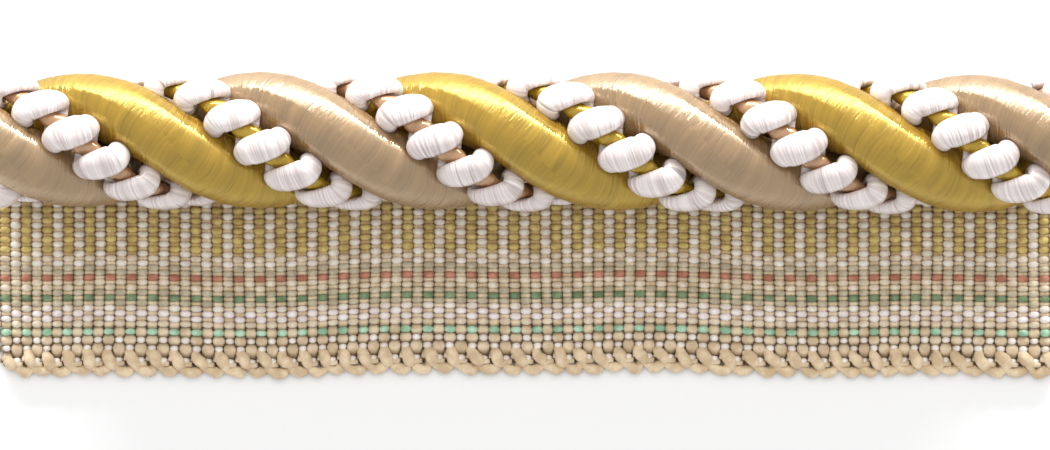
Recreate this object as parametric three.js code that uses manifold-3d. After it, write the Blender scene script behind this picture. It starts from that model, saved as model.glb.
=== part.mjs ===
// A short length of piping cord, also called lip cord: a four-strand furnishing rope sewn to a woven tape.
// Millimetres, +X along the cord, +Y away from the lip, +Z up. The lip's underside lies on z = 0 and the
// rope's axis runs straight above the X axis.

import * as THREE from 'three';
import { mergeVertices } from 'three/addons/utils/BufferGeometryUtils.js';
import Module from 'manifold-3d';

const wasm = await Module();
wasm.setup();

// Driving dimensions of the rope
const CORD_DIAMETER = 9.5;
const LAY = 24.2;
const LAYS = 3;
const LENGTH = LAY * LAYS;

// Clearance between pieces: square to flat faces, and in a cross-section that cuts the strands on the slant,
// where it measures about 0.3 square to them
const CLEARANCE = 0.3;
const SLANTED_CLEARANCE = 0.42;
const GROOVE_CLEARANCE = 0.68;

// Two fat satin strands lie opposite each other and fill the middle of the rope
const FAT_RADIUS = 2.3;
const FAT_CENTRE = 2.3;
const GOLD_TOP_X = -30.35;

// Two slim strands lie in the grooves between them, each a core with a white yarn wound round it
const SLIM_CENTRE = 3.4;
const SLIM_LEAD = THREE.MathUtils.degToRad(2);
const SLIM_HALF_HEIGHT = CORD_DIAMETER / 2 - SLIM_CENTRE;
const SLIM_HALF_WIDTH = 1.8;
const WRAPS_PER_LAY = 11.75;
const YARN_THICKNESS = 0.5;
const YARN_HALF_WIDTH = 0.95;
const YARN_SQUEEZE = 0.1;
const TAUPE_CORE_CREST_X = -32.9;
const GOLD_CORE_CREST_X = -21.95;

// The woven lip
const LIP_THICKNESS = 1.0;
const LIP_REACH = 16.05;
const LIP_UNDER_ROPE = 3.0;
const LOOP_PITCH = LENGTH / 50;
const LOOP_HEIGHT = 0.14;

// Soft tape never lies quite straight: the slow waves of its outer edge
const LIP_WAVES = [
  { height: 0.15, length: 52.5, crestX: -24.3 },
  { height: 0.08, length: 18.0, crestX: 0.0 },
];

// How finely the round forms are divided
const STEPS_PER_LAY = 16;
const FAT_SIDES = 20;
const CORE_SIDES = 8;
const STEPS_PER_WRAP = 8;
const POINTS_PER_LOOP = 4;
const MERGE_WITHIN = 1e-4;

const AXIS_HEIGHT = LIP_THICKNESS + CLEARANCE + CORD_DIAMETER / 2;
const TURN = 2 * Math.PI;
const GOLD_PHASE = 0;
const TAUPE_PHASE = Math.PI;
const TAUPE_CORE_PHASE = Math.PI / 2 + SLIM_LEAD;
const GOLD_CORE_PHASE = TAUPE_CORE_PHASE + Math.PI;

// The angle round the rope's axis at x of a strand that lies at the given phase from the gold strand
function strandAngle(x, phase) {
  return TURN * (x - GOLD_TOP_X) / LAY + phase;
}

// How much longer a strand at this radius looks across the rope than square to itself
function slantAt(radius) {
  return Math.hypot(1, TURN * radius / LAY);
}

// A closed solid: the shape is extruded straight, then each of its points is placed by the given function
function bentExtrusion(shape, steps, place) {
  const geometry = new THREE.ExtrudeGeometry(shape, { depth: 1, steps, bevelEnabled: false });
  const points = geometry.attributes.position;
  const placed = new THREE.Vector3();
  for (let i = 0; i < points.count; i += 1) {
    place(points.getX(i), points.getY(i), points.getZ(i), placed);
    points.setXYZ(i, placed.x, placed.y, placed.z);
  }
  geometry.computeVertexNormals();
  return geometry;
}

// A strand whose cross-section is drawn as it lies at the gold strand's top, turned on as it runs along X
function laidStrand(section, phase) {
  return bentExtrusion(section, STEPS_PER_LAY * LAYS, (u, v, t, placed) => {
    const x = (t - 0.5) * LENGTH;
    const turned = new THREE.Vector2(u, v).rotateAround(new THREE.Vector2(), strandAngle(x, phase));
    placed.set(x, turned.x, AXIS_HEIGHT + turned.y);
  });
}

// Distance from a point along a direction to an ellipse centred on an axis-turned spot, or infinity
function rayToEllipse(from, along, spotAngle, spotRadius, halfRadial, halfAcross) {
  const start = from.clone().rotateAround(new THREE.Vector2(), -spotAngle);
  const step = along.clone().rotateAround(new THREE.Vector2(), -spotAngle);
  const p = new THREE.Vector2((start.x - spotRadius) / halfRadial, start.y / halfAcross);
  const d = new THREE.Vector2(step.x / halfRadial, step.y / halfAcross);
  const a = d.lengthSq();
  const b = p.dot(d);
  const root = b * b - a * (p.lengthSq() - 1);
  const near = (-b - Math.sqrt(Math.max(root, 0))) / a;
  return root > 0 && near > 0 ? near : Infinity;
}

// A fat strand's section: a round pressed flat against its twin and hollowed by the two slim strands
function fatSection() {
  const centre = new THREE.Vector2(FAT_CENTRE, 0);
  const across = FAT_RADIUS * slantAt(FAT_CENTRE);
  const roomRadial = SLIM_HALF_HEIGHT + GROOVE_CLEARANCE;
  const roomAcross = SLIM_HALF_WIDTH * slantAt(SLIM_CENTRE) + GROOVE_CLEARANCE;
  const outline = [];
  for (let i = 0; i < FAT_SIDES; i += 1) {
    const angle = TURN * (i + 0.5) / FAT_SIDES;
    const along = new THREE.Vector2(Math.cos(angle), Math.sin(angle));
    const own = 1 / Math.hypot(along.x / FAT_RADIUS, along.y / across);
    const twin = along.x < 0 ? (FAT_CENTRE - SLANTED_CLEARANCE / 2) / -along.x : Infinity;
    const ahead = rayToEllipse(centre, along, TAUPE_CORE_PHASE, SLIM_CENTRE, roomRadial, roomAcross);
    const behind = rayToEllipse(centre, along, GOLD_CORE_PHASE, SLIM_CENTRE, roomRadial, roomAcross);
    outline.push(centre.clone().addScaledVector(along, Math.min(own, twin, ahead, behind)));
  }
  return new THREE.Shape(outline);
}

// A slim strand's core: an oval tube, clear of the yarn wound round it
function coreSection() {
  const halfHeight = SLIM_HALF_HEIGHT - YARN_THICKNESS - SLANTED_CLEARANCE;
  const halfWidth = (SLIM_HALF_WIDTH - YARN_THICKNESS - SLANTED_CLEARANCE) * slantAt(SLIM_CENTRE);
  const outline = [];
  for (let i = 0; i < CORE_SIDES; i += 1) {
    const angle = TURN * i / CORE_SIDES;
    const radial = SLIM_CENTRE + halfHeight * Math.cos(angle);
    outline.push(new THREE.Vector2(radial, halfWidth * Math.sin(angle)));
  }
  return new THREE.Shape(outline);
}

// The middle of the wound yarn, on an oval round the slim strand's centre line, and the way out of that oval
function yarnFrame(x, phase, crestX) {
  const angle = strandAngle(x, phase);
  const lean = TURN * SLIM_CENTRE / LAY;
  const along = new THREE.Vector3(1, -lean * Math.sin(angle), lean * Math.cos(angle)).normalize();
  const radial = new THREE.Vector3(0, Math.cos(angle), Math.sin(angle));
  const across = new THREE.Vector3().crossVectors(along, radial);
  const wound = -TURN * WRAPS_PER_LAY * (x - crestX) / LAY;
  const halfHeight = SLIM_HALF_HEIGHT - YARN_THICKNESS / 2;
  const halfWidth = SLIM_HALF_WIDTH - YARN_THICKNESS / 2;
  const middle = new THREE.Vector3(x, 0, AXIS_HEIGHT)
    .addScaledVector(radial, SLIM_CENTRE + halfHeight * Math.cos(wound))
    .addScaledVector(across, halfWidth * Math.sin(wound));
  const outward = new THREE.Vector3()
    .addScaledVector(radial, halfWidth * Math.cos(wound))
    .addScaledVector(across, halfHeight * Math.sin(wound))
    .normalize();
  return { middle, outward, widening: 1 + YARN_SQUEEZE * Math.cos(wound) };
}

// The wound yarn's section: flat on the core side and arched on the outer side
function yarnSection() {
  const half = YARN_HALF_WIDTH;
  const rise = YARN_THICKNESS / 2;
  return new THREE.Shape([
    new THREE.Vector2(half, -rise),
    new THREE.Vector2(half, 0),
    new THREE.Vector2(half / 2, rise),
    new THREE.Vector2(-half / 2, rise),
    new THREE.Vector2(-half, 0),
    new THREE.Vector2(-half, -rise),
  ]);
}

// A three.js geometry as a solid that can be cut
function toSolid(geometry) {
  geometry.deleteAttribute('normal');
  geometry.deleteAttribute('uv');
  const merged = mergeVertices(geometry, MERGE_WITHIN);
  return new wasm.Manifold(new wasm.Mesh({
    numProp: 3,
    vertProperties: merged.attributes.position.array,
    triVerts: new Uint32Array(merged.index.array),
  }));
}

// A solid as a three.js geometry again
function toGeometry(solid) {
  const mesh = solid.getMesh();
  const geometry = new THREE.BufferGeometry();
  geometry.setAttribute('position', new THREE.BufferAttribute(mesh.vertProperties, 3));
  geometry.setIndex(new THREE.BufferAttribute(mesh.triVerts, 1));
  geometry.computeVertexNormals();
  return geometry;
}

// The white yarn wound round a slim strand's core, cut off square with the rope at both ends
function woundYarn(phase, crestX) {
  const run = LENGTH + LAY / 2;
  const steps = Math.round(STEPS_PER_WRAP * WRAPS_PER_LAY * run / LAY);
  const nearby = run / steps / 4;
  const whole = bentExtrusion(yarnSection(), steps, (u, v, t, placed) => {
    const x = (t - 0.5) * run;
    const frame = yarnFrame(x, phase, crestX);
    const ahead = yarnFrame(x + nearby, phase, crestX).middle;
    const back = yarnFrame(x - nearby, phase, crestX).middle;
    const heading = ahead.sub(back).normalize();
    const sideways = new THREE.Vector3().crossVectors(frame.outward, heading).normalize();
    placed.copy(frame.middle)
      .addScaledVector(sideways, u * frame.widening)
      .addScaledVector(frame.outward, v);
  });
  const stretch = toSolid(new THREE.BoxGeometry(LENGTH, 4 * CORD_DIAMETER, 4 * CORD_DIAMETER));
  const pieces = toSolid(whole).intersect(stretch).decompose();
  const longest = pieces.reduce((best, piece) => (piece.volume() > best.volume() ? piece : best));
  return toGeometry(longest);
}

// How far the lip's outer edge strays outwards at x
function lipDrift(x) {
  return LIP_WAVES.reduce((sum, wave) => (
    sum + wave.height * Math.cos(TURN * (x - wave.crestX) / wave.length)
  ), 0);
}

// The tape lip: a flat strip with one straight edge under the rope and one edge of small woven loops
function lip() {
  const outline = [
    new THREE.Vector2(LENGTH / 2, LIP_UNDER_ROPE),
    new THREE.Vector2(-LENGTH / 2, LIP_UNDER_ROPE),
  ];
  const count = Math.round(POINTS_PER_LOOP * LENGTH / LOOP_PITCH);
  for (let i = 0; i <= count; i += 1) {
    const x = (i / count - 0.5) * LENGTH;
    const loop = LOOP_HEIGHT * Math.abs(Math.cos(Math.PI * x / LOOP_PITCH));
    outline.push(new THREE.Vector2(x, -LIP_REACH - lipDrift(x) - loop));
  }
  const depth = LIP_THICKNESS;
  return new THREE.ExtrudeGeometry(new THREE.Shape(outline), { depth, bevelEnabled: false });
}

function fabric(colour, roughness) {
  return new THREE.MeshStandardMaterial({ color: colour, roughness, metalness: 0 });
}

const piping = new THREE.Group();

function addPiece(name, geometry, material) {
  const piece = new THREE.Mesh(geometry, material);
  piece.name = name;
  piping.add(piece);
}

addPiece('tape_lip', lip(), fabric(0xc8b48c, 0.85));
addPiece('gold_strand', laidStrand(fatSection(), GOLD_PHASE), fabric(0xc8a53c, 0.4));
addPiece('taupe_strand', laidStrand(fatSection(), TAUPE_PHASE), fabric(0xaf9178, 0.4));
addPiece('taupe_core', laidStrand(coreSection(), TAUPE_CORE_PHASE), fabric(0xd7a578, 0.4));
addPiece('gold_core', laidStrand(coreSection(), GOLD_CORE_PHASE), fabric(0xdcb932, 0.4));
addPiece('white_yarn_on_taupe', woundYarn(TAUPE_CORE_PHASE, TAUPE_CORE_CREST_X), fabric(0xe1d7d7, 0.35));
addPiece('white_yarn_on_gold', woundYarn(GOLD_CORE_PHASE, GOLD_CORE_CREST_X), fabric(0xe1d7d7, 0.35));

export default piping;
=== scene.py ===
# A short length of piping cord: a four-strand furnishing rope lying on the woven tape that it is sewn to.
# Metres, +X along the cord, +Y away from the lip, +Z up. The lip's underside lies on z = 0.
import math

import bmesh
import bpy
import numpy as np
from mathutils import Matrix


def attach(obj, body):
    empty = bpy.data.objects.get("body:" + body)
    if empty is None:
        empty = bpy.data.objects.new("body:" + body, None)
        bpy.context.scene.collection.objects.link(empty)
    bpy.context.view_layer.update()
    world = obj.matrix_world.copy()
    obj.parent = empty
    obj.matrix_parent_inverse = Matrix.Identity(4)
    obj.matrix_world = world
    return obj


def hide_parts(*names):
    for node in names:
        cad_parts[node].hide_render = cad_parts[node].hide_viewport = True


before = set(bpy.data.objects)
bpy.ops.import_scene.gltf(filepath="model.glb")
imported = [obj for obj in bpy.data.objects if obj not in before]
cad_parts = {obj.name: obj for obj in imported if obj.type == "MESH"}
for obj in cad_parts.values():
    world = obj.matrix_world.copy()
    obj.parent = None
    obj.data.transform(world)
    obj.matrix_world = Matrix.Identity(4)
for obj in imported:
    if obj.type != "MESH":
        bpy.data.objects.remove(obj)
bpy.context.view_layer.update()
scene = bpy.context.scene

# The camera hangs far above the cord and looks straight down, so the rope runs level across the picture.
# Its long lens shows the high rope and the low lip at one scale.
MM = 0.001
PIXELS_PER_MM = 14.65
PICTURE_WIDTH = 1050 / PIXELS_PER_MM * MM
PICTURE_MIDDLE_Y = -5.87 * MM
FOCUS_HEIGHT = 4 * MM
LENS = 500
SENSOR_WIDTH = 36

camera_data = bpy.data.cameras.new("camera")
camera_data.lens = LENS
camera_data.sensor_width = SENSOR_WIDTH
camera = bpy.data.objects.new("camera", camera_data)
camera.location = (0, PICTURE_MIDDLE_Y, FOCUS_HEIGHT + PICTURE_WIDTH * LENS / SENSOR_WIDTH)
scene.collection.objects.link(camera)
scene.camera = camera
scene.view_settings.view_transform = "Standard"


# Two fat strands, gold and taupe, lie opposite each other and make most of the rope. Each is a soft
# filling closely wound with satin thread, so fine threads run round it and its gloss runs along it.
LAY = 24.2 * MM
LENGTH = 3 * LAY
HALF_LENGTH = LENGTH / 2
AXIS_HEIGHT = 6.05 * MM
TURN = 2 * math.pi
GOLD_TOP_X = -30.35 * MM
GOLD_PHASE = 0
TAUPE_PHASE = math.pi
SAG = (-0.15 * MM, -0.145 * MM, -0.095 * MM)
FULLNESS = (1.02, 0.015, -0.025)

FAT_RADIUS = 2.3 * MM
FAT_CENTRE = 2.3 * MM
TWIN_GAP = 0.06 * MM
FAT_RINGS = 480
FAT_AROUND = 96
CORNER_SHARPNESS = 18
BULGE_BETWEEN_BEADS = 0.5 * MM
BULGE_SHARPNESS = 1.5
THREAD_STEP = 0.02 * MM
THREAD_STEP_SPACING = 0.34 * MM
SWELL = 0.035 * MM
SWELL_SPACING = 2.6 * MM

SLIM_CENTRE = 3.4 * MM
SLIM_HALF_HEIGHT = 1.35 * MM
SLIM_HALF_WIDTH = 1.9 * MM
SLIM_LEAD = math.radians(2)
TAUPE_CORE_PHASE = math.pi / 2 + SLIM_LEAD
GOLD_CORE_PHASE = TAUPE_CORE_PHASE + math.pi
WRAPS_PER_LAY = 11.75
YARN_STRAIGHTNESS = 0.42
YARN_UNDER_SHARE = 0.35
TAUPE_CORE_CREST_X = -32.9 * MM
GOLD_CORE_CREST_X = -21.95 * MM
BED_CLEARANCE = 0.05 * MM

CUT_SCALES = np.array([0.15, 0.4, 0.68, 0.9, 0.985])
CUT_INSETS = np.array([0.0, 0.0, 0.0, 0.02, 0.09]) * MM
FIRST_FULL_RING = 0.2 * MM


def bowed(x, parts):
    """A quadratic in x over half the length: first part, plus second times it, plus third times its
    square."""
    share = x / HALF_LENGTH
    return parts[0] + parts[1] * share + parts[2] * share * share


def lying(points):
    """Points of the straight rope moved to where it lies: y grows by the fullness and gains the sag."""
    x, y, z = points[..., 0], points[..., 1], points[..., 2]
    return np.stack([x, y * bowed(x, FULLNESS) + bowed(x, SAG), z], axis=-1)


def strand_angle(x, phase):
    """Angle round the rope's axis at x: one turn in each lay from the gold strand's top, plus the phase.
    The strands slip along a little, by the sag over the slim strands' lean."""
    slip = bowed(x, SAG) / lean(SLIM_CENTRE)
    return TURN * (x - GOLD_TOP_X + slip) / LAY + phase


def lean(radius):
    """How far a strand at this radius moves round the rope for each metre along it."""
    return TURN * radius / LAY


def slant(radius):
    """How much longer a strand looks across the rope than square to itself: root of 1 + lean squared."""
    return math.hypot(1, lean(radius))


def shift_along(radius):
    """Metres along X from a slice of the rope to the square slice of a strand, for each metre sideways."""
    return lean(radius) / slant(radius) ** 2


def drifting(place, spacing, rng):
    """Smooth chance variation from -1 to 1: random numbers one spacing apart, joined by S-curves."""
    steps = place / spacing
    low = np.floor(steps).astype(int)
    part = steps - low
    blend = part * part * (3 - 2 * part)
    chances = rng.uniform(-1, 1, low.max() - low.min() + 2)
    index = low - low.min()
    return chances[index] * (1 - blend) + chances[index + 1] * blend


def skin(name, points, along):
    """A mesh of closed tubes from points of shape (tubes, rings, round, 3). Each ring joins the next by
    quads and the end rings close by fans to their middles. The UV map holds the given millimetres along the
    tube, and once round it from 0 to 1."""
    first, second = points[0, :-1], points[0, 1:]
    edge, across = np.roll(first, -1, axis=1) - first, second - first
    volume = np.einsum("ijk,ijk->", first - points[0].mean(axis=(0, 1)), np.cross(edge, across))
    if volume < 0:
        points, along = points[:, :, ::-1], along[:, :, ::-1]
    tubes, rings, around, _ = points.shape
    middles = points[:, (0, -1)].mean(axis=2)
    vertices = np.concatenate([points.reshape(-1, 3), middles.reshape(-1, 3)])
    ring = np.arange(around)
    after = (ring + 1) % around
    tube_start = np.arange(tubes)[:, None, None] * rings * around
    start = tube_start + np.arange(rings - 1)[None, :, None] * around
    quads = np.stack([start + ring, start + after, start + around + after, start + around + ring], axis=-1)
    first_ring = tube_start[:, 0]
    last_ring = first_ring + (rings - 1) * around
    first_middle = tubes * rings * around + 2 * np.arange(tubes)[:, None]
    hub = np.broadcast_to(first_middle, (tubes, around))
    first_fan = np.stack([hub, first_ring + after, first_ring + ring], axis=-1)
    last_fan = np.stack([hub + 1, last_ring + ring, last_ring + after], axis=-1)
    corners = np.concatenate([quads.ravel(), first_fan.ravel(), last_fan.ravel()])
    sizes = np.concatenate([np.full(quads.size // 4, 4), np.full(2 * tubes * around, 3)])

    mesh = bpy.data.meshes.new(name)
    mesh.vertices.add(len(vertices))
    mesh.vertices.foreach_set("co", vertices.astype(np.float32).ravel())
    mesh.loops.add(len(corners))
    mesh.loops.foreach_set("vertex_index", corners.astype(np.int32))
    mesh.polygons.add(len(sizes))
    mesh.polygons.foreach_set("loop_start", (np.cumsum(sizes) - sizes).astype(np.int32))
    mesh.polygons.foreach_set("use_smooth", np.ones(len(sizes), bool))

    u = np.concatenate([along.ravel(), along[:, (0, -1)].mean(axis=2).ravel()]) / MM
    v = np.concatenate([np.tile(ring / around, tubes * rings), np.full(2 * tubes, 0.5)])
    corner_v = v[corners]
    quad_v = corner_v[: quads.size].reshape(-1, 4)
    closing = quad_v[:, 1] < quad_v[:, 0]
    quad_v[closing, 1:3] = 1.0
    corner_v[: quads.size] = quad_v.ravel()
    layer = mesh.uv_layers.new(name="thread")
    layer.data.foreach_set("uv", np.stack([u[corners], corner_v], axis=-1).astype(np.float32).ravel())
    mesh.update(calc_edges=True)
    mesh.validate()
    piece = bpy.data.objects.new(name, mesh)
    scene.collection.objects.link(piece)
    return piece


def ray_to_ellipse(from_spot, towards, spot_angle, spot_radius, half_radial, half_across):
    """Distance from a point to an ellipse along each direction, infinity where it misses. The ellipse is
    centred at spot_radius in the direction spot_angle, and its two half axes lie along and across it.
    Also gives where it is met, as metres outwards and sideways from the ellipse's centre."""
    cosine, sine = math.cos(spot_angle), math.sin(spot_angle)
    turn = np.array([[cosine, sine], [-sine, cosine]])
    start = turn @ from_spot - np.array([spot_radius, 0])
    step = towards @ turn.T
    halves = np.array([half_radial, half_across])
    p, d = start / halves, step / halves
    a, b, c = (d * d).sum(axis=-1), (d * p).sum(axis=-1), (p * p).sum() - 1
    root = b * b - a * c
    near = (-b - np.sqrt(np.maximum(root, 0))) / a
    near = np.where((root > 0) & (near > 0), near, np.inf)
    met = start + step * np.where(np.isfinite(near), near, 0)[..., None]
    return near, met


def straightened(wound):
    """The wound angle plus a share of the sine of its double, less a share of its sine: steps along the
    strand are short at its sides, so each turn crosses it in a straight line, and longest under it."""
    return wound + YARN_STRAIGHTNESS * np.sin(2 * wound) - YARN_UNDER_SHARE * np.sin(wound)


def bead_share(x, outwards, sideways, crest_x):
    """1 where the wound yarn lies beside a point next to the slim strand, 0 midway between its turns. The
    yarn makes almost twelve left-handed turns in each lay, and lies on top at crest_x."""
    square_x = x + shift_along(SLIM_CENTRE) * sideways
    round_strand = np.arctan2(sideways / slant(SLIM_CENTRE) / SLIM_HALF_WIDTH, outwards / SLIM_HALF_HEIGHT)
    turned = -TURN * WRAPS_PER_LAY * (square_x - crest_x) / LAY
    return 0.5 + 0.5 * np.cos(straightened(round_strand) - turned)


def cut_rings(rings):
    """Places along X and scales of a strand's rings: shrinking at both ends to make its plain cut faces."""
    ends = CUT_INSETS - HALF_LENGTH
    inner = np.linspace(FIRST_FULL_RING - HALF_LENGTH, HALF_LENGTH - FIRST_FULL_RING, rings)
    x = np.concatenate([ends, inner, -ends[::-1]])
    scale = np.concatenate([CUT_SCALES, np.ones(rings), CUT_SCALES[::-1]])
    return x[:, None], scale[:, None]


def fat_strand(name, phase, ahead_crest_x, behind_crest_x, seed):
    """A round of the fat strand's radius, stretched by its slant, is met by its twin's flat side and by the
    two slim strands' ovals: its radius in each direction is the rounded least of these distances. It bulges
    between the beads, and has small chance steps along it where bundles of thread lie higher."""
    rng = np.random.default_rng(seed)
    x, scale = cut_rings(FAT_RINGS)
    around = TURN * np.arange(FAT_AROUND) / FAT_AROUND
    towards = np.stack([np.cos(around), np.sin(around)], axis=-1)
    half_across = FAT_RADIUS * slant(FAT_CENTRE)
    own = 1 / np.hypot(towards[:, 0] / FAT_RADIUS, towards[:, 1] / half_across)
    with np.errstate(divide="ignore"):
        twin = np.where(towards[:, 0] < 0, (FAT_CENTRE - TWIN_GAP / 2) / -towards[:, 0], np.inf)
    limits = [np.broadcast_to(own, (len(x), FAT_AROUND)), np.broadcast_to(twin, (len(x), FAT_AROUND))]
    centre = np.array([FAT_CENTRE, 0])
    room = (SLIM_HALF_HEIGHT + BED_CLEARANCE, SLIM_HALF_WIDTH * slant(SLIM_CENTRE) + BED_CLEARANCE)
    for spot_angle, crest_x in ((TAUPE_CORE_PHASE, ahead_crest_x), (GOLD_CORE_PHASE, behind_crest_x)):
        near, met = ray_to_ellipse(centre, towards, spot_angle, SLIM_CENTRE, *room)
        beads = bead_share(x, met[:, 0], met[:, 1], crest_x)
        limits.append(near + BULGE_BETWEEN_BEADS * (1 - beads) ** BULGE_SHARPNESS)
    radius = (np.stack(limits) ** -CORNER_SHARPNESS).sum(axis=0) ** (-1 / CORNER_SHARPNESS)
    sideways = radius * towards[:, 1]
    along = (x + shift_along(FAT_CENTRE) * sideways) * slant(FAT_CENTRE)
    steps = drifting(along, THREAD_STEP_SPACING, rng) * THREAD_STEP
    swell = drifting(along, SWELL_SPACING, rng) * SWELL
    radius = (radius + steps + swell) * scale
    outwards = FAT_CENTRE + radius * towards[:, 0]
    sideways = radius * towards[:, 1]
    angle = strand_angle(x, phase)
    y = outwards * np.cos(angle) - sideways * np.sin(angle)
    z = AXIS_HEIGHT + outwards * np.sin(angle) + sideways * np.cos(angle)
    points = lying(np.stack([np.broadcast_to(x, y.shape), y, z], axis=-1))
    return skin(name, points[None], along[None])


def linear(red, green, blue):
    """A colour from the usual 0 to 255 screen values: each value over 255, then to the power that screens
    use."""
    part = np.array([red, green, blue]) / 255
    return (*np.where(part <= 0.04045, part / 12.92, ((part + 0.055) / 1.055) ** 2.4), 1.0)


def new_material(name):
    """An empty node material with its shader and output joined, and a function that adds a node."""
    material = bpy.data.materials.new(name)
    material.use_nodes = True
    tree = material.node_tree
    tree.nodes.clear()
    shader = tree.nodes.new("ShaderNodeBsdfPrincipled")
    output = tree.nodes.new("ShaderNodeOutputMaterial")
    tree.links.new(shader.outputs["BSDF"], output.inputs["Surface"])

    def add(kind, inputs=(), **settings):
        node = tree.nodes.new(kind)
        for setting, value in settings.items():
            setattr(node, setting, value)
        for socket, value in dict(inputs).items():
            if isinstance(value, bpy.types.NodeSocket):
                tree.links.new(value, node.inputs[socket])
            else:
                node.inputs[socket].default_value = value
        return node

    return material, shader, add, tree.links


def noise(add, place, scale, detail=2.0, roughness=0.5):
    """A noise pattern on place, which is squeezed or stretched by its own scale on each axis first."""
    stretched = add("ShaderNodeMapping", {"Vector": place, "Scale": scale})
    pattern = add("ShaderNodeTexNoise", {"Vector": stretched.outputs[0], "Scale": 1.0, "Detail": detail,
                                         "Roughness": roughness})
    return pattern.outputs["Fac"]


def spread(add, value, low, high, to_low=0.0, to_high=1.0):
    """The value stretched so that low and high become to_low and to_high, and held between them."""
    node = add("ShaderNodeMapRange", {"Value": value, "From Min": low, "From Max": high,
                                      "To Min": to_low, "To Max": to_high})
    return node.outputs[0]


def mixed(add, share, first, second, blend="MIX"):
    """Two colours mixed: the first where share is 0 and the second where it is 1. The mix node's colours
    are its inputs 6 and 7 and its output 2."""
    node = add("ShaderNodeMix", {"Factor": share}, data_type="RGBA", blend_type=blend)
    for socket, value in ((node.inputs[6], first), (node.inputs[7], second)):
        if isinstance(value, bpy.types.NodeSocket):
            node.id_data.links.new(value, socket)
        else:
            socket.default_value = value
    return node.outputs[2]


BUNDLES_PER_MM = 1.3
DARK_LINES_PER_MM = 5.2
SWELLS_PER_MM = 3.0
CHANGES_ROUND_PER_MM = 0.1
THREAD_RELIEF = 0.04 * MM
SWELL_RELIEF = 0.04 * MM
SATIN_ROUGHNESS = 0.23


def satin(name, light, middle, dark, girth, tint, shine=2.1, threads_per_mm=7.0, painted_gap_shade=0.5, depth=0.5,
          contrast=0.4):
    """Fine thread wound round a strand. Its colour, gloss and height change quickly along the strand and
    slowly round it, so each thread shows as a fine line, and a few deeper lines lie between bundles. These
    lines are painted dark, as shade in the gaps where the threads part. Slow swells round it turn each
    bundle a little, which leaves the gloss with ragged edges."""
    material, shader, add, links = new_material(name)
    uv = add("ShaderNodeUVMap", uv_map="thread").outputs[0]
    slowly = CHANGES_ROUND_PER_MM * girth
    fine = noise(add, uv, (threads_per_mm, slowly, 1), detail=1.0)
    bundle = noise(add, uv, (BUNDLES_PER_MM, slowly, 1), detail=1.0)
    streak = noise(add, uv, (DARK_LINES_PER_MM, 1.6 * slowly, 1), detail=1.0)
    ragged = noise(add, uv, (SWELLS_PER_MM, 5 * slowly, 1), detail=1.0)
    tone = mixed(add, spread(add, bundle, 0.3, 0.7), dark, middle)
    tone = mixed(add, spread(add, fine, 0.4, 0.75, 0.0, contrast), tone, light)
    # Painted shade: the few deep lines between bundles are darkened towards black.
    line = spread(add, streak, 0.34, 0.27, 0.0, painted_gap_shade)
    tone = mixed(add, line, tone, tuple(0.3 * part for part in dark[:3]) + (1.0,))
    links.new(tone, shader.inputs["Base Color"])
    threads = spread(add, fine, 0.3, 0.7, 0.0, 0.5)
    between_lines = spread(add, streak, 0.25, 0.45)
    height = add("ShaderNodeMath", {0: threads, 1: between_lines}, operation="ADD")
    bump = add("ShaderNodeBump", {"Height": height.outputs[0], "Strength": depth, "Distance": THREAD_RELIEF})
    turned = add("ShaderNodeBump", {"Height": ragged, "Strength": 1.0, "Distance": SWELL_RELIEF,
                                    "Normal": bump.outputs[0]})
    links.new(turned.outputs[0], shader.inputs["Normal"])
    tangent = add("ShaderNodeTangent", direction_type="UV_MAP", uv_map="thread")
    links.new(tangent.outputs[0], shader.inputs["Tangent"])
    shader.inputs["Roughness"].default_value = SATIN_ROUGHNESS
    shader.inputs["Anisotropic"].default_value = 1.0
    shader.inputs["IOR"].default_value = shine
    shader.inputs["Specular IOR Level"].default_value = 1.0
    shader.inputs["Specular Tint"].default_value = tint
    return material


FAT_GIRTH_MM = 15

gold_strand = fat_strand("gold_satin_strand", GOLD_PHASE, TAUPE_CORE_CREST_X, GOLD_CORE_CREST_X, 11)
gold_strand.data.materials.append(
    satin("gold_satin", linear(172, 136, 47), linear(149, 114, 36), linear(119, 89, 28), FAT_GIRTH_MM,
          tint=(1, 0.78, 0.24, 1)))
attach(gold_strand, "root")
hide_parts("gold_strand")

taupe_strand = fat_strand("taupe_satin_strand", TAUPE_PHASE, GOLD_CORE_CREST_X, TAUPE_CORE_CREST_X, 12)
taupe_strand.data.materials.append(
    satin("taupe_satin", linear(157, 126, 88), linear(139, 110, 75), linear(113, 89, 60), FAT_GIRTH_MM,
          tint=(1, 0.81, 0.6, 1), painted_gap_shade=0.25))
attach(taupe_strand, "root")
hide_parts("taupe_strand")


# Two slim oval cores lie in the grooves between the fat strands, one peach to taupe and one gold. They are
# satin too, and swell out where the white yarn wound round them leaves a gap.
CORE_HALF_HEIGHT = 0.42 * MM
CORE_HALF_WIDTH = 0.62 * MM
CORE_SWELL = 0.2 * MM
CORE_SWELL_FROM = 0.72
CORE_SWELL_FULLNESS = 0.7
CORE_RINGS = 420
CORE_AROUND = 24
CORE_GIRTH_MM = 6


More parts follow.
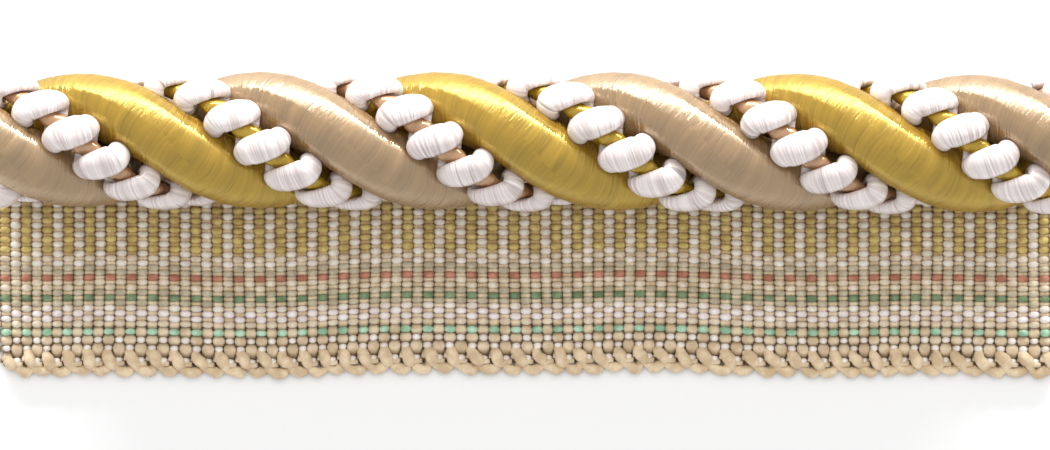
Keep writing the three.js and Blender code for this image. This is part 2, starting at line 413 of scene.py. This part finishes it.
def slim_core(name, phase, crest_x):
    """An oval tube centred on the slim strand's line. Its radius grows by the swell midway between beads:
    by a power of how far the gap between them is past its starting share."""
    x, scale = cut_rings(CORE_RINGS)
    around = TURN * np.arange(CORE_AROUND) / CORE_AROUND
    outwards = CORE_HALF_HEIGHT * np.cos(around)
    sideways = CORE_HALF_WIDTH * slant(SLIM_CENTRE) * np.sin(around)
    gap = 1 - bead_share(x, outwards, sideways, crest_x)
    open_share = np.clip((gap - CORE_SWELL_FROM) / (1 - CORE_SWELL_FROM), 0, 1)
    swell = CORE_SWELL * open_share ** CORE_SWELL_FULLNESS
    outwards = SLIM_CENTRE + scale * (outwards + swell * np.cos(around))
    sideways = scale * (sideways + swell * np.sin(around))
    angle = strand_angle(x, phase)
    y = outwards * np.cos(angle) - sideways * np.sin(angle)
    z = AXIS_HEIGHT + outwards * np.sin(angle) + sideways * np.cos(angle)
    along = (x + shift_along(SLIM_CENTRE) * sideways) * slant(SLIM_CENTRE)
    points = lying(np.stack([np.broadcast_to(x, y.shape), y, z], axis=-1))
    return skin(name, points[None], along[None])


taupe_core = slim_core("taupe_satin_core", TAUPE_CORE_PHASE, TAUPE_CORE_CREST_X)
taupe_core.data.materials.append(
    satin("peach_satin", linear(208, 164, 122), linear(188, 140, 100), linear(140, 98, 64), CORE_GIRTH_MM,
          tint=(1, 0.81, 0.6, 1)))
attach(taupe_core, "root")
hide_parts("taupe_core")

gold_core = slim_core("gold_satin_core", GOLD_CORE_PHASE, GOLD_CORE_CREST_X)
gold_core.data.materials.append(
    satin("bright_gold_satin", linear(196, 164, 48), linear(170, 134, 32), linear(130, 98, 24),
          CORE_GIRTH_MM, tint=(1, 0.78, 0.24, 1)))
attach(gold_core, "root")
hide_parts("gold_core")


# White satin-covered yarn is wound round each core in open left-handed turns, which show as a row of plump
# beads. Its own fine thread runs round it, so lines cross each bead.
YARN_HALF_WIDTH = 1.05 * MM
YARN_OUTER_HEIGHT = 0.7 * MM
YARN_INNER_HEIGHT = 0.3 * MM
YARN_END_NARROWING = 0.06
YARN_UNDER_NARROWING = 0.3
YARN_SQUARENESS = 2.2
YARN_SECTION_SQUARENESS = 2.1
YARN_STEPS_PER_WRAP = 42
YARN_AROUND = 22
YARN_GIRTH_MM = 5
YARN_BEND_ROOM = 0.85
YARN_UNEVENNESS = 0.05
YARN_WIDTH_CHANGES_OVER = 3.1 * MM
YARN_HEIGHT_CHANGES_OVER = 2.3 * MM
SPARE_WRAPS = 3


def rounded_square(angle, squareness):
    """Cosine and sine of the angle, each raised so that the circle fills out towards a square."""
    power = 2 / squareness
    cosine, sine = np.cos(angle), np.sin(angle)
    return np.sign(cosine) * np.abs(cosine) ** power, np.sign(sine) * np.abs(sine) ** power


def unit(vectors):
    """The vectors, each brought to length one."""
    return vectors / np.linalg.norm(vectors, axis=-1, keepdims=True)


def up_to_the_cuts(points):
    """The rings of a tube from its middle one out to the first on each side that lies wholly past a cut, so
    that the cuts leave one piece."""
    past = np.flatnonzero((np.abs(points[..., 0]) > HALF_LENGTH).all(axis=1))
    stops = np.concatenate([[0], past, [len(points) - 1]])
    middle = len(points) // 2
    return slice(stops[stops < middle].max(), stops[stops > middle].min() + 1)


def cut_square(piece):
    """Cuts the piece off at both ends of the cord and closes the cuts. The UV map of the closing faces
    holds their own y and z in millimetres."""
    shape = bmesh.new()
    shape.from_mesh(piece.data)
    thread = shape.loops.layers.uv["thread"]
    for side in (-1, 1):
        everything = shape.verts[:] + shape.edges[:] + shape.faces[:]
        bmesh.ops.bisect_plane(shape, geom=everything, plane_co=(side * HALF_LENGTH, 0, 0),
                               plane_no=(side, 0, 0), clear_outer=True)
        rim = [edge for edge in shape.edges if edge.is_boundary]
        filled = bmesh.ops.triangle_fill(shape, edges=rim, use_beauty=True, use_dissolve=False)["geom"]
        closing = [part for part in filled if isinstance(part, bmesh.types.BMFace)]
        for corner in (loop for face in closing for loop in face.loops):
            corner[thread].uv = corner.vert.co.yz / MM
    bmesh.ops.recalc_face_normals(shape, faces=shape.faces)
    shape.to_mesh(piece.data)
    shape.free()


def wound_yarn(name, phase, crest_x, seed):
    """The yarn's middle goes round an oval that fills out towards a rectangle, square to the slim strand's
    line. Its section is an arch, higher outside than inside, with small chance changes of width and height,
    and it narrows by the fourth power of the sine where it is pinched at the strand's sides, and under it.
    On the inside of each bend its width stays within the bend's radius, so the yarn doesn't fold over."""
    rng = np.random.default_rng(seed)
    reach = HALF_LENGTH + SPARE_WRAPS * LAY / WRAPS_PER_LAY
    pitch = LAY / WRAPS_PER_LAY
    steps = round(2 * reach / pitch * YARN_STEPS_PER_WRAP)
    wound = TURN * (crest_x - np.linspace(-reach, reach, steps)) / pitch
    x = crest_x - pitch * straightened(wound) / TURN
    angle = strand_angle(x, phase)
    zero = np.zeros_like(x)
    radial = np.stack([zero, np.cos(angle), np.sin(angle)], axis=-1)
    round_rope = np.stack([zero, -np.sin(angle), np.cos(angle)], axis=-1)
    heading = unit(lean(SLIM_CENTRE) * round_rope + [1, 0, 0])
    across = np.cross(heading, radial)
    round_out, round_side = rounded_square(wound, YARN_SQUARENESS)
    lift = SLIM_CENTRE + (SLIM_HALF_HEIGHT - YARN_OUTER_HEIGHT) * round_out
    swing = (SLIM_HALF_WIDTH - YARN_OUTER_HEIGHT) * round_side
    middle = np.stack([x, zero, zero + AXIS_HEIGHT], axis=-1)
    middle = middle + radial * lift[:, None] + across * swing[:, None]
    tangent = unit(np.gradient(middle, axis=0))
    outward = radial * (np.cos(wound) * SLIM_HALF_WIDTH)[:, None]
    outward = outward + across * (np.sin(wound) * SLIM_HALF_HEIGHT)[:, None]
    outward = unit(outward - tangent * (outward * tangent).sum(axis=-1, keepdims=True))
    sideways = np.cross(outward, tangent)
    along = np.cumsum(np.linalg.norm(np.gradient(middle, axis=0), axis=-1))

    section = TURN * np.arange(YARN_AROUND) / YARN_AROUND
    wide, high = rounded_square(section, YARN_SECTION_SQUARENESS)
    high = np.where(high > 0, high * YARN_OUTER_HEIGHT, high * YARN_INNER_HEIGHT)
    narrowing = YARN_END_NARROWING * np.sin(wound) ** 4 + YARN_UNDER_NARROWING * (1 - np.cos(wound)) / 2
    widening = 1 - narrowing + YARN_UNEVENNESS * drifting(along, YARN_WIDTH_CHANGES_OVER, rng)
    rise = 1 + YARN_UNEVENNESS * drifting(along, YARN_HEIGHT_CHANGES_OVER, rng)
    offset = YARN_HALF_WIDTH * widening[:, None] * wide
    bend = (np.gradient(tangent, axis=0) * sideways).sum(axis=-1) / np.gradient(along)
    inside = np.maximum(offset * bend[:, None] / YARN_BEND_ROOM, 0)
    offset = offset / (1 + inside ** 4) ** 0.25
    raised = rise[:, None] * high
    points = middle[:, None] + sideways[:, None] * offset[..., None] + outward[:, None] * raised[..., None]
    kept = up_to_the_cuts(points)
    along = np.broadcast_to(along[:, None], points.shape[:2])
    yarn = skin(name, lying(points)[None, kept], along[None, kept])
    cut_square(yarn)
    return yarn


white_satin = satin("white_satin", linear(247, 241, 240), linear(230, 219, 216), linear(186, 168, 163),
                    YARN_GIRTH_MM, tint=(1, 1, 1, 1), shine=1.6, threads_per_mm=8.0, painted_gap_shade=0.6,
                    contrast=1.0)
for core_name, phase, crest_x, seed in (("taupe", TAUPE_CORE_PHASE, TAUPE_CORE_CREST_X, 21),
                                        ("gold", GOLD_CORE_PHASE, GOLD_CORE_CREST_X, 22)):
    yarn = wound_yarn("white_satin_yarn_on_" + core_name, phase, crest_x, seed)
    yarn.data.materials.append(white_satin)
    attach(yarn, "root")
    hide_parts("white_yarn_on_" + core_name)


# The tape lip is plain weave, a little under 1 mm thick. Weft yarns of tan cotton run across it side by
# side, and pairs of them turn back in loops at its outer edge.
LIP_MIDDLE = 0.5 * MM
COLUMN_COUNT = 100
COLUMN_PITCH = LENGTH / COLUMN_COUNT
WHITE_COLUMN_X = 1.41 * MM
LIP_INNER_Y = 3.0 * MM
FIRST_WARP_Y = LIP_INNER_Y - 0.25 * MM
EDGE_Y = -16.14 * MM
LIP_WAVES = ((0.15 * MM, 52.5 * MM, -24.3 * MM), (0.08 * MM, 18.0 * MM, 0.0))
WANDER = 0.24 * MM
WANDER_LENGTH = 19 * MM
WANDER_FROM_Y = -8 * MM
WEFT_HALF_WIDTH = 0.35 * MM
WEFT_OPEN_WIDENING = 0.2
WEFT_PINCH = 0.12
WEFT_OPEN_PINCH = 0.3
WEFT_HALF_HEIGHT = 0.16 * MM
WEFT_WAVE = 0.13 * MM
WEFT_WAVE_AT_EDGE = 0.2 * MM
WEFT_SQUARENESS = 2.4
WEFT_UNEVENNESS = 0.08
WEFT_AROUND = 8
WEFT_GIRTH_MM = 1.8
WEFT_END_SCALES = (0.25, 0.7)
WEFT_END = 0.05 * MM
OPEN_WEAVE_Y = -12.8 * MM
OPENS_WITHIN = 0.6 * MM
LAST_WEFT_Y = -15.4 * MM

HIDDEN_PITCH = 0.40 * MM
FINE_PITCH = 0.328 * MM
MIDDLE_PITCH = 0.354 * MM
OPEN_PITCH = 0.56 * MM
LAST_DOT_GAP = 0.84 * MM
FIRST_SHOWN_Y = -5.12 * MM

# Colours of the warp yarns that show, from the rope outwards. They lie by turns over the white columns
# and over the coloured ones between them.
FINE_ROWS = ("white", "yellow") * 4 + ("white", "cream", "white", "sage", "sage", "red")
MIDDLE_ROWS = ("cream", "cream", "sage", "green", "sage", "white", "pearl", "pearl", "cream")
OPEN_ROWS = ("mint", "dot", "dot", "dot")

HOLLOW_HEIGHT = 0.5 * MM
HOLLOW_DEPTH = 0.25 * MM
HOLLOW_SHADE = (0.3, 0.24, 0.16, 1)
# Painted light: a yellow tint multiplied into the tan weft in the yellow columns near the rope. It stands in
# for light reflected from the yellow floats, because the weft yarn itself is the same tan all across.
PAINTED_YELLOW_TINT = (0.78, 0.68, 0.42, 1)
PLIES_PER_MM = 9
PLY_LEAN = 0.6
PATCHES_PER_METRE = 1100
SPECKS_PER_METRE = 5200
PLY_RELIEF = 0.05 * MM
PAINTED_YELLOW_TO_Y = -8.2 * MM
PAINTED_YELLOW_FADES_WITHIN = 0.5 * MM

shown_rows = FINE_ROWS + MIDDLE_ROWS + OPEN_ROWS
WEFT_SHOWN_STEPS = 3 * len(shown_rows) + 6
hidden_count = round((LIP_INNER_Y - FIRST_SHOWN_Y) / HIDDEN_PITCH / 2) * 2
pitches = np.concatenate([np.full(len(FINE_ROWS), FINE_PITCH), np.full(len(MIDDLE_ROWS) - 1, MIDDLE_PITCH),
                          np.full(len(OPEN_ROWS) - 1, OPEN_PITCH), [LAST_DOT_GAP]])
shown_y = FIRST_SHOWN_Y - np.concatenate([[0], np.cumsum(pitches)])
hidden_y = np.linspace(FIRST_WARP_Y, FIRST_SHOWN_Y, hidden_count, endpoint=False)
row_y = np.concatenate([hidden_y, shown_y])
row_number = np.arange(len(row_y)) - hidden_count


def lip_drift(x):
    """How far the lip's rows swing outwards and inwards along the cord: the sum of its slow waves."""
    return sum(height * np.cos(TURN * (x - crest) / length) for height, length, crest in LIP_WAVES)


def laid_out(x, y):
    """Moves points of the straight weave to where the soft tape lies: rows swing with the drift, and the
    columns wander sideways towards the outer edge."""
    swing = np.clip((LIP_INNER_Y - y) / (LIP_INNER_Y - FIRST_SHOWN_Y), 0, 1)
    loose = np.clip((WANDER_FROM_Y - y) / (WANDER_FROM_Y - EDGE_Y), 0, 1)
    moved_x = x + WANDER * loose * np.cos(TURN * x / WANDER_LENGTH)
    return moved_x, y - swing * lip_drift(x)


first_column = math.ceil((-HALF_LENGTH - WHITE_COLUMN_X) / COLUMN_PITCH)
column_number = first_column + np.arange(COLUMN_COUNT)
column_x = WHITE_COLUMN_X + COLUMN_PITCH * column_number


def weft(name):
    """Flat yarns along Y, one for each column. Their height follows a cosine of the row number: low under
    the warps that cross over them and high over the others. Both ends narrow and are closed."""
    rng = np.random.default_rng(31)
    hidden_steps = np.linspace(LIP_INNER_Y, FIRST_SHOWN_Y, hidden_count, endpoint=False)
    shown_steps = np.linspace(FIRST_SHOWN_Y, LAST_WEFT_Y, WEFT_SHOWN_STEPS)
    first_y, last_y = LIP_INNER_Y + WEFT_END, LAST_WEFT_Y - WEFT_END
    y = np.concatenate([[first_y, first_y], hidden_steps, shown_steps, [last_y, last_y]])
    taper = np.concatenate([WEFT_END_SCALES, np.ones(len(y) - 4), WEFT_END_SCALES[::-1]])
    row = np.interp(-y, -row_y, row_number, left=row_number[0], right=row_number[-1] + 1)
    parity = column_number[:, None] % 2
    wave = np.cos(math.pi * (row[None, :] - parity))
    depth = np.interp(-y, [-OPEN_WEAVE_Y, -LAST_WEFT_Y], [WEFT_WAVE, WEFT_WAVE_AT_EDGE])
    height = LIP_MIDDLE - depth * wave
    openness = np.clip((OPEN_WEAVE_Y - y) / OPENS_WITHIN, 0, 1)
    pinch = WEFT_PINCH + (WEFT_OPEN_PINCH - WEFT_PINCH) * openness
    width = WEFT_HALF_WIDTH * (1 + WEFT_OPEN_WIDENING * openness) * (1 - pinch * (0.5 + 0.5 * wave)) * taper
    thick = WEFT_HALF_HEIGHT * (1 + WEFT_UNEVENNESS * rng.uniform(-1, 1, (COLUMN_COUNT, 1))) * taper
    around = TURN * (np.arange(WEFT_AROUND) + 0.5) / WEFT_AROUND
    wide, high = rounded_square(around, WEFT_SQUARENESS)
    straight_x = column_x[:, None, None] + width[..., None] * wide
    straight_y = np.broadcast_to(y[None, :, None], straight_x.shape)
    x, moved_y = laid_out(straight_x, straight_y)
    z = height[..., None] + thick[..., None] * high
    points = np.stack([np.clip(x, -HALF_LENGTH, HALF_LENGTH), moved_y, z], axis=-1)
    piece = skin(name, points, -straight_y)
    # Painted yellow light: the tint's share is 1 in the yellow columns and fades out just past the last
    # yellow rows.
    painted_yellow_share = (parity == 1) * np.clip((y - PAINTED_YELLOW_TO_Y) / PAINTED_YELLOW_FADES_WITHIN, 0, 1)
    per_vertex = np.concatenate([np.repeat(painted_yellow_share.ravel(), WEFT_AROUND), painted_yellow_share[:, (0, -1)].ravel()])
    piece.data.attributes.new("painted_yellow_light", "FLOAT", "POINT").data.foreach_set("value", per_vertex)
    return piece


def cotton(name, colour, shade, girth, gloss=0.35, rough=0.55, hollow_height=HOLLOW_HEIGHT):
    """Matt twisted yarn: its ply lines lean across it, and its colour is a little uneven from yarn to yarn.
    It is painted darker below the hollow height, as shade where little light comes down between the yarns.
    Where the mesh says so it takes a painted yellow tint, standing in for light reflected from the yellow
    floats beside it."""
    material, shader, add, links = new_material(name)
    uv = add("ShaderNodeUVMap", uv_map="thread").outputs[0]
    place = add("ShaderNodeTexCoord").outputs["Object"]
    leaning = add("ShaderNodeMapping", {"Vector": uv, "Rotation": (0, 0, PLY_LEAN),
                                        "Scale": (PLIES_PER_MM, 3 * girth, 1)})
    twist = add("ShaderNodeTexNoise", {"Vector": leaning.outputs[0], "Scale": 1.0, "Detail": 2.0})
    twist = twist.outputs["Fac"]
    patch = noise(add, place, (PATCHES_PER_METRE,) * 3, detail=2.0)
    speck = noise(add, place, (SPECKS_PER_METRE,) * 3, detail=1.0)
    tone = mixed(add, spread(add, patch, 0.38, 0.62), shade, colour)
    tone = mixed(add, spread(add, speck, 0.45, 0.3, 0.0, 0.4), tone, shade)
    tone = mixed(add, spread(add, twist, 0.45, 0.25, 0.0, 0.45), tone, shade)
    # Painted yellow light reflected from the yellow floats, multiplied in by the mesh's share.
    painted_yellow_share = add("ShaderNodeAttribute", attribute_name="painted_yellow_light").outputs["Fac"]
    tone = mixed(add, painted_yellow_share, tone, PAINTED_YELLOW_TINT, blend="MULTIPLY")
    height = add("ShaderNodeSeparateXYZ", {"Vector": place}).outputs["Z"]
    hollow = spread(add, height, hollow_height, hollow_height + HOLLOW_DEPTH, 1.0, 0.0)
    tone = mixed(add, hollow, tone, HOLLOW_SHADE, blend="MULTIPLY")
    links.new(tone, shader.inputs["Base Color"])
    bump = add("ShaderNodeBump", {"Height": twist, "Strength": 0.5, "Distance": PLY_RELIEF})
    links.new(bump.outputs[0], shader.inputs["Normal"])
    links.new(spread(add, twist, 0.3, 0.7, rough + 0.1, rough - 0.1), shader.inputs["Roughness"])
    shader.inputs["Specular IOR Level"].default_value = gloss
    shader.inputs["Sheen Weight"].default_value = 0.12
    return material


weft_yarns = weft("lip_weft")
weft_yarns.data.materials.append(
    cotton("tan_cotton", linear(232, 212, 182), linear(204, 180, 146), WEFT_GIRTH_MM))
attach(weft_yarns, "root")
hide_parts("tape_lip")


# Warp yarns of many colours run along the lip and pass over every second weft. Each shows as a row of
# small plump floats, with the next colour's floats between them.
WARP_WAVE = 0.27 * MM
WARP_FLATNESS = 1.25
WARP_HALF_WIDTH = 0.1 * MM
WARP_FLOAT_WIDTH = 0.135 * MM
WARP_HALF_HEIGHT = 0.12 * MM
WARP_FLOAT_HEIGHT = 0.06 * MM
WARP_UNEVENNESS = 0.12
WARP_UNEVEN_OVER = 1.3 * COLUMN_PITCH
ROW_APART = 31 * LAY
DOT_SHORTNESS = 0.38
SHOWN_STEPS = 6
SHOWN_AROUND = 7
HIDDEN_STEPS = 3
HIDDEN_AROUND = 5

WARP_COLOURS = {
    "white": (linear(244, 236, 226), linear(220, 210, 196)),
    "pearl": (linear(248, 240, 238), linear(226, 214, 212)),
    "cream": (linear(236, 222, 200), linear(208, 190, 164)),
    "yellow": (linear(220, 198, 124), linear(188, 162, 94)),
    "sage": (linear(206, 196, 170), linear(178, 166, 140)),
    "red": (linear(204, 142, 118), linear(168, 108, 86)),
    "green": (linear(138, 160, 122), linear(102, 126, 88)),
    "mint": (linear(190, 228, 200), linear(140, 184, 150)),
    "dot": (linear(250, 244, 238), linear(226, 214, 204)),
}


def warps(name, numbers, steps_per_column, around_count, shortness, seed):
    """Yarns along X at the given rows. Height follows a flattened cosine of the column number, up over the
    row's own columns and down under the others, and each yarn is widest where it floats. Shortness is taken
    off the cosine, so less of the yarn comes up. Each row takes its chance changes from its own place."""
    rng = np.random.default_rng(seed)
    numbers = np.asarray(numbers)
    x = np.linspace(-HALF_LENGTH, HALF_LENGTH, round(LENGTH / COLUMN_PITCH * steps_per_column) + 1)
    y = row_y[numbers + hidden_count]
    parity = numbers[:, None] % 2
    over = np.cos(math.pi * ((x[None, :] - WHITE_COLUMN_X) / COLUMN_PITCH - parity)) - shortness
    over = np.maximum(np.tanh(WARP_FLATNESS * over) / math.tanh(WARP_FLATNESS), -1)
    height = LIP_MIDDLE + WARP_WAVE * over
    full = np.sqrt(np.abs(over))
    own_place = x[None, :] + ROW_APART * numbers[:, None]
    plump = 1 + WARP_UNEVENNESS * drifting(own_place, WARP_UNEVEN_OVER, rng)
    wide = (WARP_HALF_WIDTH + WARP_FLOAT_WIDTH * full) * plump
    thick = (WARP_HALF_HEIGHT + WARP_FLOAT_HEIGHT * full) * plump
    around = TURN * (np.arange(around_count) + 0.25) / around_count
    straight_x = np.broadcast_to(x[None, :, None], (*over.shape, around_count))
    straight_y = y[:, None, None] + wide[..., None] * np.cos(around)
    moved_x, moved_y = laid_out(straight_x, straight_y)
    z = height[..., None] + thick[..., None] * np.sin(around)
    points = np.stack([np.clip(moved_x, -HALF_LENGTH, HALF_LENGTH), moved_y, z], axis=-1)
    return skin(name, points, straight_x)


GLOSSY_COLOURS = ("pearl", "dot", "mint")
WARP_GIRTH_MM = 1.3


def finish_warps(piece, colour):
    """Gives the warps of one colour their yarn, and joins them to the cord."""
    light, shade = WARP_COLOURS[colour]
    gloss, rough = (0.6, 0.38) if colour in GLOSSY_COLOURS else (0.4, 0.5)
    yarn = cotton(colour + "_yarn", light, shade, WARP_GIRTH_MM, gloss=gloss, rough=rough)
    piece.data.materials.append(yarn)
    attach(piece, "root")
    return piece


for seed, colour in enumerate(WARP_COLOURS, start=41):
    numbers = [number for number, row_colour in enumerate(shown_rows) if row_colour == colour]
    shortness = DOT_SHORTNESS if colour == "dot" else 0
    piece = warps("lip_warps_" + colour, numbers, SHOWN_STEPS, SHOWN_AROUND, shortness, seed)
    finish_warps(piece, colour)
hidden_numbers = np.arange(-hidden_count, 0)
for colour, numbers in (("white", hidden_numbers[0::2]), ("yellow", hidden_numbers[1::2])):
    piece = warps("lip_warps_hidden_" + colour, numbers, HIDDEN_STEPS, HIDDEN_AROUND, 0, 61)
    finish_warps(piece, colour)


# The lip's outer edge is finished by the weft yarns themselves. Each pair's yarn comes over the last warp
# as a slanted float, turns along the edge in a lobe and goes back under the next pair, like a flat braid.
LOOP_PATH = np.array([
    (-0.05, -14.40, 0.50, 0.30), (0.08, -14.84, 0.77, 0.40), (0.32, -15.24, 0.74, 0.41),
    (0.56, -15.52, 0.46, 0.29), (0.90, -15.74, 0.50, 0.36), (1.34, -15.80, 0.46, 0.37),
    (1.62, -15.50, 0.30, 0.28), (1.44, -14.92, 0.23, 0.24), (1.38, -14.48, 0.28, 0.24)]) * MM
LOOP_YARN_FLATNESS = 0.78
LOOP_LOWEST = 0.02 * MM
LOOP_UNEVENNESS = np.array([0.13, 0.13, 0.03, 0.04]) * MM
LOOP_STEPS = 3
LOOP_AROUND = 10
LOOP_GIRTH_MM = 2.2
LOOP_HOLLOW_HEIGHT = 0.2 * MM


def through(spots, steps):
    """A smooth path through the spots: between each two, the cubic whose slope at each spot is half the
    difference of its neighbours."""
    before, here, there, after = spots[:-3], spots[1:-2], spots[2:-1], spots[3:]
    t = (np.arange(steps) / steps)[None, :, None]
    before, here, there, after = (part[:, None] for part in (before, here, there, after))
    path = (2 * here + (there - before) * t + (2 * before - 5 * here + 4 * there - after) * t ** 2
            + (3 * here - before - 3 * there + after) * t ** 3) / 2
    return path.reshape(-1, spots.shape[-1])


def edge_loops(name):
    """One flattened yarn whose middle follows the loop path again and again, one pitch further along each
    time, with small chance shifts of every spot. The path's last column is the yarn's half width there."""
    rng = np.random.default_rng(71)
    count = COLUMN_COUNT // 2 + 2
    loop_x = WHITE_COLUMN_X + COLUMN_PITCH * (first_column + 2 * np.arange(count))
    spots = LOOP_PATH[None] + LOOP_UNEVENNESS * rng.uniform(-1, 1, (count, *LOOP_PATH.shape))
    spots[..., 0] += loop_x[:, None]
    path = through(spots.reshape(-1, 4), LOOP_STEPS)
    middle, half = path[:, :3], path[:, 3]
    tangent = unit(np.gradient(middle, axis=0))
    sideways = unit(np.cross(tangent, [0, 0, 1.0]))
    upward = np.cross(sideways, tangent)
    along = np.cumsum(np.linalg.norm(np.gradient(middle, axis=0), axis=-1))
    around = TURN * np.arange(LOOP_AROUND) / LOOP_AROUND
    ring = sideways[:, None] * np.cos(around)[:, None]
    ring = ring + LOOP_YARN_FLATNESS * upward[:, None] * np.sin(around)[:, None]
    points = middle[:, None] + half[:, None, None] * ring
    moved_x, moved_y = laid_out(points[..., 0], points[..., 1])
    points = np.stack([moved_x, moved_y, np.maximum(points[..., 2], LOOP_LOWEST)], axis=-1)
    kept = up_to_the_cuts(points)
    along = np.broadcast_to(along[:, None], points.shape[:2])
    piece = skin(name, points[None, kept], along[None, kept])
    cut_square(piece)
    return piece


loops = edge_loops("lip_edge_loops")
loops.data.materials.append(
    cotton("edge_cotton", linear(236, 214, 180), linear(208, 182, 146), LOOP_GIRTH_MM,
           hollow_height=LOOP_HOLLOW_HEIGHT))
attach(loops, "root")


# A plain white table, soft light from all round with more of it from above, and one long narrow lamp low
# behind the rope that draws the gloss along its strands.
FLOOR_SIZE = 4.0
WORLD_BRIGHTNESS = 0.74
SOFT_LAMP_ANGLE = math.radians(16)
SOFT_LAMP_DISTANCE = 1.6
SOFT_LAMP_SIZE = 1.5
SOFT_LAMP_WATTS = 9.0
LONG_LAMP_ANGLE = math.radians(72)
LONG_LAMP_DISTANCE = 0.6
LONG_LAMP_SIZE = (0.8, 0.03)
LONG_LAMP_WATTS = 7.5


def at_angle(angle, distance):
    """A place at this distance from the cord's middle, tipped by the angle from straight up towards +Y."""
    return 0, distance * math.sin(angle), distance * math.cos(angle)


floor_mesh = bpy.data.meshes.new("floor")
half = FLOOR_SIZE / 2
floor_corners = [(-half, -half, 0), (half, -half, 0), (half, half, 0), (-half, half, 0)]
floor_mesh.from_pydata(floor_corners, [], [(0, 1, 2, 3)])
floor = bpy.data.objects.new("floor", floor_mesh)
scene.collection.objects.link(floor)
table_top, table_shader, _, _ = new_material("white_table")
table_shader.inputs["Base Color"].default_value = (0.95, 0.95, 0.95, 1)
table_shader.inputs["Roughness"].default_value = 0.9
table_shader.inputs["Specular IOR Level"].default_value = 0.1
floor_mesh.materials.append(table_top)

world = bpy.data.worlds.new("studio")
world.use_nodes = True
world.node_tree.nodes["Background"].inputs["Color"].default_value = (1, 1, 1, 1)
world.node_tree.nodes["Background"].inputs["Strength"].default_value = WORLD_BRIGHTNESS
scene.world = world

soft_lamp_data = bpy.data.lights.new("soft_lamp", "AREA")
soft_lamp_data.size = SOFT_LAMP_SIZE
soft_lamp_data.energy = SOFT_LAMP_WATTS
soft_lamp = bpy.data.objects.new("soft_lamp", soft_lamp_data)
soft_lamp.location = at_angle(SOFT_LAMP_ANGLE, SOFT_LAMP_DISTANCE)
soft_lamp.rotation_euler = (-SOFT_LAMP_ANGLE, 0, 0)
soft_lamp.visible_glossy = False
scene.collection.objects.link(soft_lamp)

long_lamp_data = bpy.data.lights.new("long_lamp", "AREA")
long_lamp_data.shape = "RECTANGLE"
long_lamp_data.size, long_lamp_data.size_y = LONG_LAMP_SIZE
long_lamp_data.energy = LONG_LAMP_WATTS
long_lamp = bpy.data.objects.new("long_lamp", long_lamp_data)
long_lamp.location = at_angle(LONG_LAMP_ANGLE, LONG_LAMP_DISTANCE)
long_lamp.rotation_euler = (-LONG_LAMP_ANGLE, 0, 0)
scene.collection.objects.link(long_lamp)
